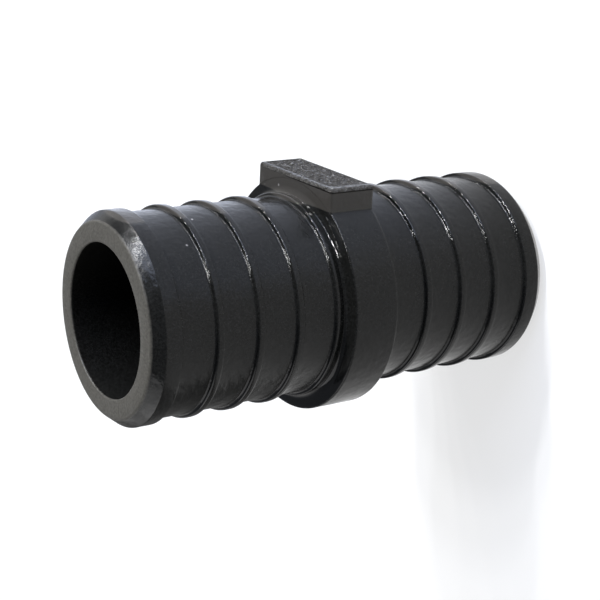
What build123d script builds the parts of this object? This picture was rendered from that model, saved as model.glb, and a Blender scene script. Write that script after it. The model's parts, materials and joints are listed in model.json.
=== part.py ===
"""Insert coupling for cross-linked polyethylene tube, moulded in one piece from a stiff black plastic.

Two ribbed spigots meet at a short collar that stops the tubes, and a flat pad stands on the collar.
The bore runs along Z with the origin at its middle, and the pad faces -Y.
"""

from build123d import *
import os

# Spigot: the ribs fit the tube, and the wall is the thickness between them
rib_diameter = 22.4
rib_height = 0.45
wall = 2.7
bore_edge = 0.15

# Along the spigot, measured from its end face towards the collar
spigot_length = 22.3
nose_drop = 1.05
nose_taper = 1.3
nose_length = 3.1
first_rib = 7.0
rib_pitch = 4.7
rib_width = 0.75
rib_draft = 0.12

# Collar that stops the tubes, standing over the ribs by the collar step
collar_step = 1.65
collar_length = 5.4
collar_root = 1.2
collar_edge = 0.25

# Flat pad, whose face stands over the collar by the pad stand
pad_width = 14.2
pad_stand = 0.45
pad_edge = 0.35

# What follows from the sizes above
half_length = spigot_length + collar_length / 2
rib_radius = rib_diameter / 2
root_radius = rib_radius - rib_height
bore_radius = root_radius - wall
end_face_radius = rib_radius - nose_drop
collar_radius = rib_radius + collar_step
pad_height = collar_radius + pad_stand
rib_count = int((spigot_length - first_rib - rib_width - rib_draft) // rib_pitch) + 1
rib_starts = [first_rib + i * rib_pitch for i in range(rib_count)]

# How near two places are to count as the same
same = 0.001


def corners_at(section, radius, height):
    """The corners of a section at one radius and one height."""
    return [v for v in section.vertices() if abs(v.X - radius) < same and abs(v.Z - height) < same]


def ring_section(outer, start, end, draft=0):
    """One ring's section down to the bore, with flanks that lean by the draft where they meet the wall."""
    corners = [
        (bore_radius, 0, start - draft),
        (root_radius, 0, start - draft),
        (outer, 0, start),
        (outer, 0, end),
        (root_radius, 0, end + draft),
        (bore_radius, 0, end + draft),
    ]
    return make_face(Polyline(*corners, close=True))


def wall_section():
    """The plain spigot wall with its tapered nose, up to the middle of the collar."""
    corners = [
        (bore_radius, 0, bore_edge),
        (bore_radius + bore_edge, 0, 0),
        (end_face_radius, 0, 0),
        (rib_radius, 0, nose_taper),
        (rib_radius, 0, nose_length),
        (root_radius, 0, nose_length + rib_draft),
        (root_radius, 0, half_length),
        (bore_radius, 0, half_length),
    ]
    return make_face(Polyline(*corners, close=True))


def spigot_section():
    """One half of the fitting's section: the wall, the collar with its swept root, and the ribs."""
    section = wall_section() + ring_section(collar_radius, spigot_length, half_length)
    section = fillet(corners_at(section, root_radius, spigot_length), collar_root)
    for start in rib_starts:
        section += ring_section(rib_radius, start, start + rib_width, rib_draft)
    return section


def turned_body():
    """Both halves of the section turned about the bore's axis."""
    half = spigot_section().moved(Location((0, 0, -half_length)))
    whole = half + mirror(half, about=Plane.XY)
    return revolve(whole, Axis.Z)


def fitting():
    """The turned body with the pad on its collar, and both with their outer edges rounded."""
    pad = Pos(0, -pad_height / 2, 0) * Box(pad_width, pad_height, collar_length)
    body = turned_body() + pad - Cylinder(bore_radius, 2 * half_length)
    collar_arcs = [
        e for e in body.edges().filter_by(GeomType.CIRCLE)
        if abs(e.radius - collar_radius) < same and abs(abs(e.center().Z) - collar_length / 2) < same
    ]
    pad_posts = [e for e in body.edges().filter_by(Axis.Y) if abs(abs(e.center().X) - pad_width / 2) < same]
    body = fillet(collar_arcs + pad_posts, collar_edge)
    rim = body.faces().sort_by(Axis.Y)[0].edges()
    return fillet(rim, pad_edge)


os.makedirs("parts", exist_ok=True)
export_step(fitting(), "parts/fitting_body.step")
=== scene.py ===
"""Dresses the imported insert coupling: one body moulded in black polysulfone, standing on its end face."""

import json
import math

import bpy
from mathutils import Matrix, Vector, noise


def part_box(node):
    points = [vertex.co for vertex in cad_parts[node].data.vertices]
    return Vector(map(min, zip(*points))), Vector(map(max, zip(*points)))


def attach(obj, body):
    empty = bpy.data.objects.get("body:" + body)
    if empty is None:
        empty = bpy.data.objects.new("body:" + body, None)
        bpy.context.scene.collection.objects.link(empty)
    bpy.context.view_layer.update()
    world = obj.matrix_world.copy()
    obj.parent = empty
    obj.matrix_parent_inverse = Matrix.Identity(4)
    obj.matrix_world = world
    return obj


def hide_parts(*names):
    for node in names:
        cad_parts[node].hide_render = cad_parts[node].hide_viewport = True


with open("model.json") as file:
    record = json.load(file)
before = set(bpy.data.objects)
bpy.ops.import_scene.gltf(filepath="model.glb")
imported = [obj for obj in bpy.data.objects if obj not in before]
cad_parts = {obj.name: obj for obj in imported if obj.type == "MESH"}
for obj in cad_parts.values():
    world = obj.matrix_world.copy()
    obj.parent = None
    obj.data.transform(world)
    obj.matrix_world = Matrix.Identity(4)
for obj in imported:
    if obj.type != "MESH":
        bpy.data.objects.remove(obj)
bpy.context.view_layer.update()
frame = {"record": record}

bl_info = {
    "name": "Insert Coupling",
    "version": (1, 0, 0),
    "blender": (4, 5, 0),
    "location": "View3D > Sidebar > Coupling",
    "description": "Builds a ribbed insert coupling with its pad, its moulded finish and a small studio",
    "category": "Add Mesh",
}

MM = 0.001
NODE = "fitting_body"
LOW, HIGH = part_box(NODE)
MOUNTS = {m["name"]: m for m in frame["record"]["mounts"]}

# Steps of the mesh along each stretch. The pad's face and the collar are counted on one half
ARC_STEPS = 4
ROOT_STEPS = 10
EDGE_STEPS = 4
BAND_STEPS = 46
BORE_STEPS = 6
PAD_FACE_STEPS = 58
PAD_CORNER_STEPS = 6
PAD_SIDE_STEPS = 4
PAD_BLEND_STEPS = 5
COLLAR_STEPS = 100

# Depth of the bore's first ring, in roundings of the bore's lip
LIP_REACH = 4

# Rough casting on the pad: its smooth rim, wider on the left and narrower at the foot, and its relief
SMOOTH_RIM = 0.4 * MM
RIM_FADE = 0.35 * MM
LEFT_RIM = 2
FOOT_RIM = 3
HOLLOWS_PER_MM = 1.3
PITS_PER_MM = 2.2
PIT_OFFSET = Vector((7, 3, 1))
PIT_ROUGHNESS = 0.4
PIT_LACUNARITY = 2.0
PIT_OCTAVES = 3
MEAN_PIT = 0.45
HOLLOW_WEIGHT = 0.6
PIT_WEIGHT = 0.9

# Noises in the moulding: name, size of the spots and detail. The real grain is finer than 0.1 mm, and is
# drawn coarser so that it shows
NOISES = [
    ("cloud", 9 * MM, 3.0),
    ("mottle", 2.5 * MM, 5.0),
    ("peel", 0.9 * MM, 3.0),
    ("flake", 0.5 * MM, 3.0),
    ("speckle", 0.25 * MM, 4.0),
    ("grain", 0.16 * MM, 2.0),
]

# Reliefs in the surface, coarse ones first: noise, mask that bounds it, strength and depth
RELIEFS = [
    ("peel", "unpolished", 0.8, 0.08 * MM),
    ("flake", "pad_top", 1.0, 0.7 * MM),
    ("grain", "unpolished", 0.45, 0.02 * MM),
]

# Polysulfone's index is about 1.6. It is matched to the photograph with a lower index and a weak mirror
PLASTIC_IOR = 1.5
PLASTIC_SPECULAR = 0.2

# Roughness: glossy and dull mottle of the skin, polished ribs, and what the end face adds
GLOSSY_SKIN = 0.14
DULL_SKIN = 0.27
POLISHED = 0.07
END_DULLNESS = 0.25

# Share of the peel's and the grain's relief that is left on the polished ribs
POLISHED_RELIEF = 0.15

# Pale chips: how far apart they may lie
CHIP_SPACING = 2.4 * MM

# Levels between which each goes from nothing to whole
CHIP_LEVELS = (0.07, 0.03)
PATCH_LEVELS = (0.56, 0.6)
MOTTLE_LEVELS = (0.35, 0.65)
SPECKLE_LEVELS = (0.3, 0.7)

# Floor: its size, how white it glows for the lens, and its paint
FLOOR_SIZE = 4
LENS_GLOW = 0.65
PAINT_ROUGHNESS = 0.9
PAINT_SPECULAR = 0.1

# The floor's tone in reflections alone, with painted shade and painted light: a darker stretch on the far
# side and a brighter, cool one on the pad's side. Bearing from +X, where a change starts and is whole,
# and how much it is
PAINTED_REFLECTION_ZONES = [
    (math.radians(60), 42 * MM, 64 * MM, -0.8),
    (math.radians(-69), 4 * MM, 30 * MM, 0.65),
]

# Height in the world between which its tone changes, from 0 at the horizon to 1 overhead
ROOM_RISE = (0.15, 0.4)

# Soft lamps: name, place and size in metres, power in watts, and colour
SOFT_LAMPS = [
    ("pad_side_lamp", Vector((-0.05, -0.50, 0.25)), (0.4, 0.4), 3.4, "#D6E2FF"),
    ("far_side_lamp", Vector((-0.05, 0.50, 0.25)), (0.4, 0.4), 0.9, "#FFFFFF"),
]

# Camera: the point that it looks at, its sensor in millimetres, and its clipping distances in metres
AIM = Vector((0.23, 1.09, 0.97)) * MM
SENSOR_WIDTH = 36
NEAREST = 0.005
FARTHEST = 20


def mount_radius(name):
    """A round mount's radius in metres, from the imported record."""
    return MOUNTS[name]["dims"]["r_mm"] * MM


class CouplingSizes(bpy.types.PropertyGroup):
    """Sizes of the moulded body. The overall ones come from the frame."""

    length: bpy.props.FloatProperty(
        name="Length", description="From end face to end face", default=HIGH.z - LOW.z, unit="LENGTH")
    bore: bpy.props.FloatProperty(
        name="Bore radius", description="Radius of the water way", default=mount_radius("bore"),
        unit="LENGTH")
    bore_lip: bpy.props.FloatProperty(
        name="Bore lip", description="Rounding of the mouth", default=0.15 * MM, unit="LENGTH")
    end_face: bpy.props.FloatProperty(
        name="End face radius", description="Outer radius of the flat end", default=10.15 * MM, unit="LENGTH")
    root: bpy.props.FloatProperty(
        name="Root radius", description="Spigot radius between the ribs", default=10.75 * MM, unit="LENGTH")
    rib: bpy.props.FloatProperty(
        name="Rib radius", description="Radius over the ribs", default=mount_radius("upper_spigot"),
        unit="LENGTH")
    nose_taper: bpy.props.FloatProperty(
        name="Nose taper", description="Length of the tapered lead", default=1.3 * MM, unit="LENGTH")
    nose_length: bpy.props.FloatProperty(
        name="Nose length", description="From the end face to the nose's back", default=3.1 * MM,
        unit="LENGTH")
    nose_edge: bpy.props.FloatProperty(
        name="Nose edge", description="Rounding of the nose's edges", default=0.3 * MM, unit="LENGTH")
    first_rib: bpy.props.FloatProperty(
        name="First rib", description="From the end face to the first rib", default=7.0 * MM, unit="LENGTH")
    rib_pitch: bpy.props.FloatProperty(
        name="Rib pitch", description="From rib to rib", default=4.7 * MM, unit="LENGTH")
    rib_width: bpy.props.FloatProperty(
        name="Rib width", description="Width of a rib's crest", default=0.75 * MM, unit="LENGTH")
    rib_draft: bpy.props.FloatProperty(
        name="Rib draft", description="Lean of a rib's flank", default=0.12 * MM, unit="LENGTH")
    rib_edge: bpy.props.FloatProperty(
        name="Rib edge", description="Rounding of a rib's crest", default=0.2 * MM, unit="LENGTH")
    rib_foot: bpy.props.FloatProperty(
        name="Rib foot", description="Fillet at a rib's foot", default=0.12 * MM, unit="LENGTH")
    rib_count: bpy.props.IntProperty(
        name="Ribs", description="Ribs on each spigot", default=4, min=1)
    collar: bpy.props.FloatProperty(
        name="Collar radius", description="Outer radius of the stop collar", default=HIGH.x, unit="LENGTH")
    collar_length: bpy.props.FloatProperty(
        name="Collar length", description="Collar length along the bore", default=5.4 * MM, unit="LENGTH")
    collar_root: bpy.props.FloatProperty(
        name="Collar root", description="Fillet between spigot and collar", default=1.2 * MM, unit="LENGTH")
    collar_edge: bpy.props.FloatProperty(
        name="Collar edge", description="Rounding of the collar and pad", default=0.25 * MM, unit="LENGTH")
    pad_width: bpy.props.FloatProperty(
        name="Pad width", description="Width across the pad", default=14.2 * MM, unit="LENGTH")
    pad_height: bpy.props.FloatProperty(
        name="Pad height", description="From the bore's axis to the pad's face", default=-LOW.y,
        unit="LENGTH")
    pad_corner: bpy.props.FloatProperty(
        name="Pad corner", description="Rounding along the pad's long edges", default=0.45 * MM,
        unit="LENGTH")
    pad_blend: bpy.props.FloatProperty(
        name="Pad blend", description="Fillet between the pad's sides and the collar", default=0.3 * MM,
        unit="LENGTH")
    pit_depth: bpy.props.FloatProperty(
        name="Pit depth", description="Depth of the rough casting on the pad", default=0.3 * MM,
        unit="LENGTH")


class CouplingFinish(bpy.types.PropertyGroup):
    """Colours of the moulding, as sRGB hex values."""

    plastic: bpy.props.StringProperty(
        name="Plastic", description="Black polysulfone", default="#090908")
    mottled: bpy.props.StringProperty(
        name="Mottled plastic", description="Where the flow left it a little paler", default="#161615")
    worn: bpy.props.StringProperty(
        name="Worn plastic", description="Pale scuffed polysulfone", default="#6E6C6B")
    pad_plastic: bpy.props.StringProperty(
        name="Pad", description="Matt sides and rough top of the pad", default="#302E2B")
    end_plastic: bpy.props.StringProperty(
        name="End face", description="Matt end face of the moulding", default="#33312D")
    end_light: bpy.props.StringProperty(
        name="End face, lighter", description="Paler grain of the end face", default="#4D4B45")


class CouplingStage(bpy.types.PropertyGroup):
    """Camera, floor and lamps."""

    azimuth: bpy.props.FloatProperty(
        name="Azimuth", description="Camera's bearing from the pad", default=math.radians(-68.6),
        subtype="ANGLE")
    elevation: bpy.props.FloatProperty(
        name="Elevation", description="Camera's height", default=math.radians(32.3), subtype="ANGLE")
    roll: bpy.props.FloatProperty(
        name="Roll", description="Camera's turn about its own axis", default=math.radians(-98.8),
        subtype="ANGLE")
    distance: bpy.props.FloatProperty(
        name="Distance", description="Camera to aim point", default=155.4 * MM, unit="LENGTH")
    lens: bpy.props.FloatProperty(
        name="Lens", description="Focal length", default=84.2, unit="CAMERA")
    strip_count: bpy.props.IntProperty(
        name="Strip lamps", description="Lamps in the overhead row", default=8, min=2)
    strip_first: bpy.props.FloatProperty(
        name="First strip", description="Bearing that mirrors the first, from the camera's",
        default=math.radians(18), subtype="ANGLE")
    strip_last: bpy.props.FloatProperty(
        name="Last strip", description="Bearing that mirrors the last, from the camera's",
        default=math.radians(57), subtype="ANGLE")
    strip_tilt_first: bpy.props.FloatProperty(
        name="First tilt", description="Tilt of the faces that mirror the first", default=math.radians(56),
        subtype="ANGLE")
    strip_tilt_last: bpy.props.FloatProperty(
        name="Last tilt", description="Tilt of the faces that mirror the last", default=math.radians(31),
        subtype="ANGLE")
    strip_width: bpy.props.FloatProperty(
        name="Strip width", description="Width of each lamp in the row", default=0.010, unit="LENGTH")
    strip_length: bpy.props.FloatProperty(
        name="Strip length", description="Length of each lamp in the row", default=0.055, unit="LENGTH")
    strip_reach: bpy.props.FloatProperty(
        name="Strip reach", description="Distance to the row", default=0.6, unit="LENGTH")
    strip_power: bpy.props.FloatProperty(
        name="Strip power", description="Power of each lamp in the row", default=0.85, unit="POWER")
    floor: bpy.props.StringProperty(
        name="Floor", description="Floor colour", default="#F2F2F2")
    floor_white: bpy.props.StringProperty(
        name="Floor's reflection", description="What shiny faces mirror of the floor", default="#FFFFFF")
    # Painted light: the bluish, brighter floor that shiny faces mirror on the pad's side
    painted_cool_reflection: bpy.props.StringProperty(
        name="Cool reflection", description="The same beyond the pad", default="#E2E9FA")
    room_foot: bpy.props.StringProperty(
        name="Room's foot", description="The room up to a little over the horizon", default="#FFFFFF")
    room_top: bpy.props.StringProperty(
        name="Room's top", description="The room overhead", default="#7C8088")


def linear(hex_colour):
    """An sRGB hex colour as linear RGBA."""
    values = [int(hex_colour[i:i + 2], 16) / 255 for i in (1, 3, 5)]
    return [v / 12.92 if v <= 0.04045 else ((v + 0.055) / 1.055) ** 2.4 for v in values] + [1.0]


def add_node(tree, kind, settings=(), links=()):
    """Adds a shader node; settings are (input or attribute, value), links are (input, source socket)."""
    node = tree.nodes.new(kind)
    for key, value in settings:
        if isinstance(key, str) and hasattr(node, key):
            setattr(node, key, value)
        else:
            node.inputs[key].default_value = value
    for key, source in links:
        tree.links.new(source, node.inputs[key])
    return node


def empty_tree(owner):
    """Turns on the nodes of a material or a world and clears them."""
    owner.use_nodes = True
    owner.node_tree.nodes.clear()
    return owner.node_tree


def rounded(corners):
    """A path through (radius, height, rounding) corners, with each rounded corner as a short arc."""
    path = []
    for i, (r, z, rounding) in enumerate(corners):
        here = Vector((r, z))
        if rounding == 0 or i in (0, len(corners) - 1):
            path.append(here)
            continue
        back = (Vector(corners[i - 1][:2]) - here).normalized()
        on = (Vector(corners[i + 1][:2]) - here).normalized()
        half_angle = back.angle(on) / 2
        reach = rounding / math.tan(half_angle)
        centre = here + (back + on).normalized() * rounding / math.sin(half_angle)
        first = here + back * reach - centre
        last = here + on * reach - centre
        for k in range(ARC_STEPS + 1):
            path.append(centre + (first * (ARC_STEPS - k) + last * k).normalized() * rounding)
    return path


def rib_corners(s, start):
    """The four corners of one rib, from its outer flank's foot to its inner flank's foot."""
    end = start + s.rib_width
    return [
        (s.root, start - s.rib_draft, s.rib_foot),
        (s.rib, start, s.rib_edge),
        (s.rib, end, s.rib_edge),
        (s.root, end + s.rib_draft, s.rib_foot),
    ]


def spigot_path(s):
    """The outside of one spigot as (radius, height) points, from the bore's lip to the collar's face."""
    corners = [
        (s.bore, s.bore_lip * LIP_REACH, 0),
        (s.bore, 0, s.bore_lip),
        (s.end_face, 0, s.nose_edge),
        (s.rib, s.nose_taper, s.nose_edge),
        (s.rib, s.nose_length, s.rib_edge),
        (s.root, s.nose_length + s.rib_draft, s.rib_foot),
    ]
    for i in range(s.rib_count):
        corners += rib_corners(s, s.first_rib + i * s.rib_pitch)
    face = (s.length - s.collar_length) / 2
    reach = s.collar_root
    groove = corners.pop()[1]
    sweep = math.asin(1 - (face - groove) / reach)
    corners.append((s.root + reach * (1 - math.cos(sweep)), groove, 0))
    path = rounded(corners)
    for k in range(1, ROOT_STEPS + 1):
        angle = sweep + (math.pi / 2 - sweep) * k / ROOT_STEPS
        radius = s.root + reach - reach * math.cos(angle)
        path.append(Vector((radius, face - reach + reach * math.sin(angle))))
    return path


def half_outline(s):
    """Half of the collar's outline with its pad, as (point, outward normal) pairs from the pad's middle."""
    half, top, corner, blend = s.pad_width / 2, s.pad_height, s.pad_corner, s.pad_blend
    side = []
    for k in range(PAD_FACE_STEPS + 1):
        side.append((Vector(((half - corner) * k / PAD_FACE_STEPS, -top)), Vector((0, -1))))
    for k in range(1, PAD_CORNER_STEPS + 1):
        a = math.pi / 2 * k / PAD_CORNER_STEPS
        normal = Vector((math.sin(a), -math.cos(a)))
        side.append((Vector((half - corner, corner - top)) + normal * corner, normal))
    meet_x = half + blend
    meet_y = -math.sqrt((s.collar + blend) ** 2 - meet_x ** 2)
    for k in range(1, PAD_SIDE_STEPS):
        y = corner - top + (meet_y + top - corner) * k / PAD_SIDE_STEPS
        side.append((Vector((half, y)), Vector((1, 0))))
    centre = Vector((meet_x, meet_y))
    turn = math.atan2(meet_y, meet_x)
    for k in range(PAD_BLEND_STEPS + 1):
        a = turn * k / PAD_BLEND_STEPS
        normal = Vector((math.cos(a), math.sin(a)))
        side.append((centre - normal * blend, normal))
    first = math.atan2(meet_x, -meet_y)
    for k in range(1, COLLAR_STEPS + 1):
        a = first + (math.pi - first) * k / COLLAR_STEPS
        normal = Vector((math.sin(a), -math.cos(a)))
        side.append((normal * s.collar, normal))
    return side


def collar_outline(s):
    """The whole outline in turning order, its second half mirrored from the first."""
    side = half_outline(s)
    mirrored = [(Vector((-p.x, p.y)), Vector((-n.x, n.y))) for p, n in side[1:-1]]
    return side + mirrored[::-1]


def pitted(s, point, z):
    """How far the rough casting drops a point of the pad's face, fading out towards its rim."""
    from_left = point.x + s.pad_width / 2
    from_top = s.collar_length / 2 - z
    from_foot = s.collar_length / 2 + z
    rim = min(from_left / LEFT_RIM, from_top, FOOT_RIM * from_foot)
    fade = max(0.0, min(1.0, (rim - SMOOTH_RIM) / RIM_FADE))
    at = Vector((point.x, z, 0)) / MM
    hollows = noise.noise(at * HOLLOWS_PER_MM)
    pits = noise.fractal(at * PITS_PER_MM + PIT_OFFSET, PIT_ROUGHNESS, PIT_LACUNARITY, PIT_OCTAVES)
    relief = MEAN_PIT + HOLLOW_WEIGHT * hollows + PIT_WEIGHT * pits
    return s.pit_depth * fade * max(0.0, min(1.0, relief))


def round_ring(bearings, radius, z):
    """A round ring, with one point on each bearing of the collar's outline."""
    return [Vector((b.x * radius, b.y * radius, z)) for b in bearings]


def collar_ring(columns, inset, z):
    """The collar's outline, drawn in by an inset."""
    return [Vector((p.x - n.x * inset, p.y - n.y * inset, z)) for p, n in columns]


def rough_ring(s, columns, z):
    """The collar's outline with the rough casting in the pad's face."""
    points = []
    for p, n in columns:
        drop = pitted(s, p, z) if n.y == -1 else 0
        points.append(Vector((p.x - n.x * drop, p.y - n.y * drop, z)))
    return points


def body_rows(s):
    """The body's rings of points, from the lower bore lip round the outside and back down the bore."""
    columns = collar_outline(s)
    bearings = [p.normalized() for p, n in columns]
    half = s.length / 2
    face = s.collar_length / 2
    edge = s.collar_edge
    path = spigot_path(s)
    edge_path = []
    for k in range(EDGE_STEPS + 1):
        a = math.pi / 2 * k / EDGE_STEPS
        edge_path.append((edge * (1 - math.sin(a)), edge * (1 - math.cos(a))))
    rows = [round_ring(bearings, p.x, p.y - half) for p in path]
    rows += [collar_ring(columns, inset, rise - face) for inset, rise in edge_path]
    for k in range(1, BAND_STEPS):
        rows.append(rough_ring(s, columns, (face - edge) * (2 * k / BAND_STEPS - 1)))
    rows += [collar_ring(columns, inset, face - rise) for inset, rise in reversed(edge_path)]
    rows += [round_ring(bearings, p.x, half - p.y) for p in reversed(path)]
    for k in range(1, BORE_STEPS):
        z = (half - LIP_REACH * s.bore_lip) * (1 - 2 * k / BORE_STEPS)
        rows.append(round_ring(bearings, s.bore, z))
    return rows


def mesh_from_rows(name, rows):
    """One closed mesh through rings of points; the last ring joins the first."""
    count = len(rows[0])
    verts = [p for row in rows for p in row]
    faces = []
    for i in range(len(rows)):
        a = i * count
        b = (i + 1) % len(rows) * count
        for j in range(count):
            k = (j + 1) % count
            faces.append((a + j, a + k, b + k, b + j))
    mesh = bpy.data.meshes.new(name)
    mesh.from_pydata(verts, [], faces)
    mesh.validate()
    mesh.polygons.foreach_set("use_smooth", [True] * len(mesh.polygons))
    obj = bpy.data.objects.new(name, mesh)
    bpy.context.scene.collection.objects.link(obj)
    return obj


def body_masks(tree, place, s):
    """Where each finish lies on the body, as masks that go from 0 to 1 across a short border."""
    parts = add_node(tree, "ShaderNodeSeparateXYZ", (), [(0, place)])
    side_on = parts.outputs["Y"]
    level = add_node(
        tree, "ShaderNodeMath", [("operation", "ABSOLUTE")], [(0, parts.outputs["Z"])]).outputs[0]
    flat = add_node(tree, "ShaderNodeVectorMath", [("operation", "MULTIPLY"), (1, (1, 1, 0))], [(0, place)])
    length = add_node(tree, "ShaderNodeVectorMath", [("operation", "LENGTH")], [(0, flat.outputs[0])])
    radius = length.outputs["Value"]
    half = s.length / 2
    nose_back = half - s.nose_length
    pad_foot = -math.sqrt(s.collar ** 2 - (s.pad_width / 2) ** 2)
    # Name, what it is measured by, where it starts and where it is whole
    borders = [
        ("above_root", radius, s.root + 0.06 * MM, s.root + 0.16 * MM),
        ("behind_nose", level, nose_back + 0.1 * MM, nose_back),
        ("under_collar", radius, s.collar - 0.06 * MM, s.collar - 0.2 * MM),
        ("pad", side_on, pad_foot, pad_foot - 0.15 * MM),
        ("pad_top", side_on, 0.5 * MM - s.pad_height, 0.4 * MM - s.pad_height),
        ("outside", radius, s.bore + 0.3 * MM, s.bore + 0.5 * MM),
        ("end", level, half - 0.25 * MM, half - 0.04 * MM),
    ]
    masks = {}
    for name, measure, start, whole in borders:
        masks[name] = add_node(
            tree, "ShaderNodeMapRange", [(1, start), (2, whole)], [(0, measure)]).outputs[0]
    polished = masks["above_root"]
    for name in ("behind_nose", "under_collar"):
        polished = add_node(
            tree, "ShaderNodeMath", [("operation", "MULTIPLY")], [(0, polished), (1, masks[name])]).outputs[0]
    masks["polished"] = polished
    masks["unpolished"] = add_node(
        tree, "ShaderNodeMapRange", [(3, 1.0), (4, POLISHED_RELIEF)], [(0, polished)]).outputs[0]
    return masks


def body_noises(tree, place):
    """The moulding's noises by name, each at its size in the table."""
    noises = {}
    for name, size, detail in NOISES:
        noises[name] = add_node(
            tree, "ShaderNodeTexNoise", [("Scale", 1 / size), ("Detail", detail)],
            [("Vector", place)]).outputs["Fac"]
    return noises


def body_scuffs(tree, place, cloud, outside):
    """A mask of small pale chips that lie in patches, on the outside alone."""
    spots = add_node(tree, "ShaderNodeTexVoronoi", [("Scale", 1 / CHIP_SPACING)], [("Vector", place)])
    chips = add_node(
        tree, "ShaderNodeMapRange", [(1, CHIP_LEVELS[0]), (2, CHIP_LEVELS[1])], [(0, spots.outputs[0])])
    patches = add_node(tree, "ShaderNodeMapRange", [(1, PATCH_LEVELS[0]), (2, PATCH_LEVELS[1])], [(0, cloud)])
    scuffed = chips.outputs[0]
    for mask in (outside, patches.outputs[0]):
        scuffed = add_node(
            tree, "ShaderNodeMath", [("operation", "MULTIPLY")], [(0, scuffed), (1, mask)]).outputs[0]
    return scuffed


def body_colour(tree, finish, noises, masks, scuffed):
    """The moulding's colour: near black, with a paler pad, grey-brown ends and pale scuffs over them."""
    speckle = add_node(
        tree, "ShaderNodeMapRange", [(1, SPECKLE_LEVELS[0]), (2, SPECKLE_LEVELS[1])],
        [(0, noises["speckle"])]).outputs[0]
    grained = []
    for dark, light in ((finish.plastic, finish.mottled), (finish.end_plastic, finish.end_light)):
        grained.append(add_node(
            tree, "ShaderNodeMix", [("data_type", "RGBA"), (6, linear(dark)), (7, linear(light))],
            [(0, speckle)]).outputs[2])
    side, end = grained
    with_pad = add_node(
        tree, "ShaderNodeMix", [("data_type", "RGBA"), (7, linear(finish.pad_plastic))],
        [(0, masks["pad"]), (6, side)]).outputs[2]
    with_ends = add_node(
        tree, "ShaderNodeMix", [("data_type", "RGBA")],
        [(0, masks["end"]), (6, with_pad), (7, end)]).outputs[2]
    return add_node(
        tree, "ShaderNodeMix", [("data_type", "RGBA"), (7, linear(finish.worn))],
        [(0, scuffed), (6, with_ends)]).outputs[2]


def body_roughness(tree, mottle, masks):
    """A sheen that varies with the mottle, matt ends and polished ribs."""
    skin = add_node(
        tree, "ShaderNodeMapRange",
        [(1, MOTTLE_LEVELS[0]), (2, MOTTLE_LEVELS[1]), (3, GLOSSY_SKIN), (4, DULL_SKIN)], [(0, mottle)])
    with_ends = add_node(
        tree, "ShaderNodeMath", [("operation", "MULTIPLY_ADD"), (1, END_DULLNESS)],
        [(0, masks["end"]), (2, skin.outputs[0])])
    return add_node(
        tree, "ShaderNodeMix", [("data_type", "FLOAT"), (3, POLISHED)],
        [(0, masks["polished"]), (2, with_ends.outputs[0])]).outputs[0]


def body_relief(tree, noises, masks):
    """The reliefs of the table, each laid over the one before."""
    normal = None
    for name, mask, strength, depth in RELIEFS:
        height = add_node(
            tree, "ShaderNodeMath", [("operation", "MULTIPLY")], [(0, noises[name]), (1, masks[mask])])
        under = [("Normal", normal)] if normal else []
        normal = add_node(
            tree, "ShaderNodeBump", [("Strength", strength), ("Distance", depth)],
            [("Height", height.outputs[0])] + under).outputs[0]
    return normal


def moulded_polysulfone(s, finish):
    """Polysulfone, injection moulded. The eye sees near black with a soft, slightly uneven sheen, bright
    lines on the polished ribs, a matt grey-brown end face, a rough grey pad and a few pale scuffs."""
    material = bpy.data.materials.new("moulded_polysulfone")
    tree = empty_tree(material)
    place = add_node(tree, "ShaderNodeTexCoord").outputs["Object"]
    masks = body_masks(tree, place, s)
    noises = body_noises(tree, place)
    scuffed = body_scuffs(tree, place, noises["cloud"], masks["outside"])
    colour = body_colour(tree, finish, noises, masks, scuffed)
    roughness = body_roughness(tree, noises["mottle"], masks)
    normal = body_relief(tree, noises, masks)
    shader = add_node(
        tree, "ShaderNodeBsdfPrincipled", [("IOR", PLASTIC_IOR), ("Specular IOR Level", PLASTIC_SPECULAR)],
        [("Base Color", colour), ("Roughness", roughness), ("Normal", normal)])
    add_node(tree, "ShaderNodeOutputMaterial", (), [("Surface", shader.outputs[0])])
    return material


class COUPLING_OT_moulded_body(bpy.types.Operator):
    """Builds the moulded body over its CAD node"""

    bl_idname = "coupling.moulded_body"
    bl_label = "Moulded body"

    def execute(self, context):
        scene = context.scene
        body = mesh_from_rows("moulded_body", body_rows(scene.coupling_sizes))
        body.data.materials.append(moulded_polysulfone(scene.coupling_sizes, scene.coupling_finish))
        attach(body, "root")
        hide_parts(NODE)
        return {"FINISHED"}


def area_lamp(name, at, size, power, colour):
    """A soft rectangular lamp at a place, facing the object."""
    data = bpy.data.lights.new(name, "AREA")
    data.shape = "RECTANGLE"
    data.size, data.size_y = size
    data.energy = power
    data.color = linear(colour)[:3]
    lamp = bpy.data.objects.new(name, data)
    lamp.location = at
    lamp.rotation_euler = (-at).to_track_quat("-Z", "Y").to_euler()
    bpy.context.scene.collection.objects.link(lamp)


def painted_reflection_tone(tree, mirrored):
    """The floor's strength in reflections, with its painted shade and painted light, and where its last zone
    lies.
    """
    place = add_node(tree, "ShaderNodeTexCoord").outputs["Object"]
    tone = None
    for bearing, start, whole, change in PAINTED_REFLECTION_ZONES:
        heading = (math.cos(bearing), math.sin(bearing), 0)
        along = add_node(
            tree, "ShaderNodeVectorMath", [("operation", "DOT_PRODUCT"), (1, heading)], [(0, place)])
        rise = add_node(tree, "ShaderNodeMapRange", [(1, start), (2, whole)], [(0, along.outputs["Value"])])
        zone = add_node(
            tree, "ShaderNodeMath", [("operation", "MULTIPLY")],
            [(0, rise.outputs[0]), (1, mirrored)]).outputs[0]
        under = [(2, tone)] if tone else []
        tone = add_node(
            tree, "ShaderNodeMath", [("operation", "MULTIPLY_ADD"), (1, change), (2, 1.0)],
            [(0, zone)] + under).outputs[0]
    return tone, zone


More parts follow.
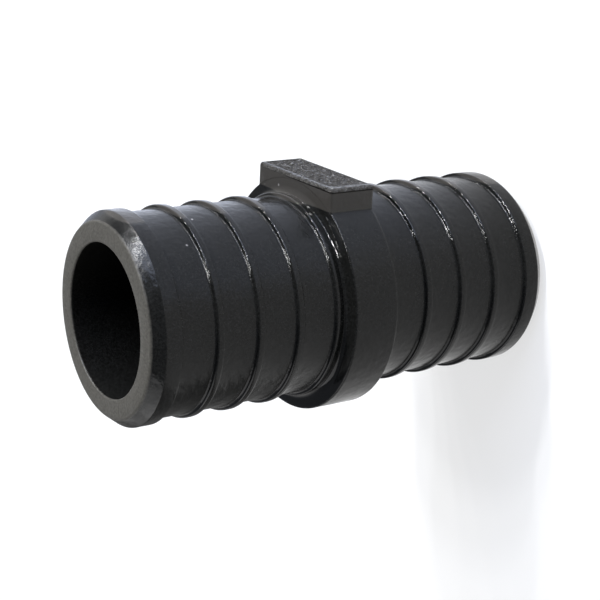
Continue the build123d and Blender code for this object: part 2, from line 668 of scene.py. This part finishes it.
def white_board_with_painted_reflections(stage):
    """Matt white paint on a board. It shows white to the lens and in reflections, and keeps its shadow. In
    reflections alone it also carries painted shade on the far side and painted cool light on the pad's side.
    """
    material = bpy.data.materials.new("white_board_with_painted_reflections")
    tree = empty_tree(material)
    path = add_node(tree, "ShaderNodeLightPath")
    lens = add_node(
        tree, "ShaderNodeMath", [("operation", "MULTIPLY"), (1, LENS_GLOW)],
        [(0, path.outputs["Is Camera Ray"])])
    mirrored = add_node(
        tree, "ShaderNodeMath", [("operation", "MAXIMUM")],
        [(0, path.outputs["Is Glossy Ray"]), (1, path.outputs["Is Transmission Ray"])]).outputs[0]
    share = add_node(
        tree, "ShaderNodeMath", [("operation", "MAXIMUM")], [(0, lens.outputs[0]), (1, mirrored)])
    # Painted shade and painted cool light, seen in reflections alone
    tone, zone = painted_reflection_tone(tree, mirrored)
    tint = add_node(
        tree, "ShaderNodeMix",
        [("data_type", "RGBA"), (6, linear(stage.floor_white)), (7, linear(stage.painted_cool_reflection))], [(0, zone)])
    paint = add_node(
        tree, "ShaderNodeBsdfPrincipled",
        [("Base Color", linear(stage.floor)), ("Roughness", PAINT_ROUGHNESS),
         ("Specular IOR Level", PAINT_SPECULAR)])
    glow = add_node(tree, "ShaderNodeEmission", (), [("Color", tint.outputs[2]), ("Strength", tone)])
    mix = add_node(
        tree, "ShaderNodeMixShader", (), [(0, share.outputs[0]), (1, paint.outputs[0]), (2, glow.outputs[0])])
    add_node(tree, "ShaderNodeOutputMaterial", (), [("Surface", mix.outputs[0])])
    return material


def room_world(stage):
    """A room, white round its foot and darker overhead, so that upward faces mirror little but the lamps."""
    world = bpy.data.worlds.new("room")
    tree = empty_tree(world)
    place = add_node(tree, "ShaderNodeTexCoord").outputs["Generated"]
    height = add_node(tree, "ShaderNodeSeparateXYZ", (), [(0, place)]).outputs["Z"]
    rise = add_node(tree, "ShaderNodeMapRange", [(1, ROOM_RISE[0]), (2, ROOM_RISE[1])], [(0, height)])
    tone = add_node(
        tree, "ShaderNodeMix",
        [("data_type", "RGBA"), (6, linear(stage.room_foot)), (7, linear(stage.room_top))],
        [(0, rise.outputs[0])])
    back = add_node(tree, "ShaderNodeBackground", [("Strength", 1.0)], [("Color", tone.outputs[2])])
    add_node(tree, "ShaderNodeOutputWorld", (), [("Surface", back.outputs[0])])
    return world


def view_back(stage):
    """The direction from the object to the camera."""
    a, e = stage.azimuth, stage.elevation
    return Vector((math.sin(a) * math.cos(e), -math.cos(a) * math.cos(e), math.sin(e)))


def strip_lamps(stage):
    """A row of narrow lamps overhead, whose reflections make the dashes along each rib's crest."""
    back = view_back(stage)
    bearing = math.atan2(back.y, back.x)
    size = (stage.strip_width, stage.strip_length)
    for k in range(stage.strip_count):
        share = k / (stage.strip_count - 1)
        a = bearing + stage.strip_first + (stage.strip_last - stage.strip_first) * share
        e = stage.strip_tilt_first + (stage.strip_tilt_last - stage.strip_tilt_first) * share
        facing = Vector((math.cos(a) * math.cos(e), math.sin(a) * math.cos(e), math.sin(e)))
        at = (2 * facing.dot(back) * facing - back) * stage.strip_reach
        area_lamp(f"strip_lamp_{k + 1}", at, size, stage.strip_power, "#FFFFFF")


def make_camera(stage):
    """The camera on the photograph's line of sight."""
    data = bpy.data.cameras.new("camera")
    data.lens = stage.lens
    data.sensor_width = SENSOR_WIDTH
    data.clip_start = NEAREST
    data.clip_end = FARTHEST
    camera = bpy.data.objects.new("camera", data)
    back = view_back(stage)
    turn = (-back).to_track_quat("-Z", "Y").to_matrix().to_4x4() @ Matrix.Rotation(stage.roll, 4, "Z")
    camera.matrix_world = Matrix.Translation(AIM + back * stage.distance) @ turn
    bpy.context.scene.collection.objects.link(camera)
    bpy.context.scene.camera = camera


class COUPLING_OT_stage(bpy.types.Operator):
    """Sets the floor, the lamps and the camera"""

    bl_idname = "coupling.stage"
    bl_label = "Stage"

    def execute(self, context):
        scene = context.scene
        stage = scene.coupling_stage
        bpy.ops.mesh.primitive_plane_add(size=FLOOR_SIZE, location=(0, 0, LOW.z))
        floor = context.active_object
        floor.name = "floor"
        floor.data.materials.append(white_board_with_painted_reflections(stage))
        for name, at, size, power, colour in SOFT_LAMPS:
            area_lamp(name, at, size, power, colour)
        strip_lamps(stage)
        scene.world = room_world(stage)
        scene.view_settings.view_transform = "Standard"
        make_camera(stage)
        return {"FINISHED"}


class COUPLING_PT_panel(bpy.types.Panel):
    """The coupling's sizes, finish and stage in the sidebar"""

    bl_idname = "COUPLING_PT_panel"
    bl_label = "Insert Coupling"
    bl_space_type = "VIEW_3D"
    bl_region_type = "UI"
    bl_category = "Coupling"

    def draw(self, context):
        layout = self.layout
        scene = context.scene
        for group in (scene.coupling_sizes, scene.coupling_finish, scene.coupling_stage):
            for name in group.bl_rna.properties.keys():
                if name not in ("rna_type", "name"):
                    layout.prop(group, name)
        layout.operator(COUPLING_OT_moulded_body.bl_idname)
        layout.operator(COUPLING_OT_stage.bl_idname)


CLASSES = (
    CouplingSizes,
    CouplingFinish,
    CouplingStage,
    COUPLING_OT_moulded_body,
    COUPLING_OT_stage,
    COUPLING_PT_panel,
)


def register():
    """Registers the classes and adds their settings to the scene."""
    for item in CLASSES:
        bpy.utils.register_class(item)
    bpy.types.Scene.coupling_sizes = bpy.props.PointerProperty(type=CouplingSizes)
    bpy.types.Scene.coupling_finish = bpy.props.PointerProperty(type=CouplingFinish)
    bpy.types.Scene.coupling_stage = bpy.props.PointerProperty(type=CouplingStage)


def unregister():
    """Takes the settings and the classes away again."""
    del bpy.types.Scene.coupling_stage
    del bpy.types.Scene.coupling_finish
    del bpy.types.Scene.coupling_sizes
    for item in reversed(CLASSES):
        bpy.utils.unregister_class(item)


def main():
    """Builds the body and its stage."""
    register()
    bpy.ops.coupling.moulded_body()
    bpy.ops.coupling.stage()


if __name__ == "__main__":
    main()
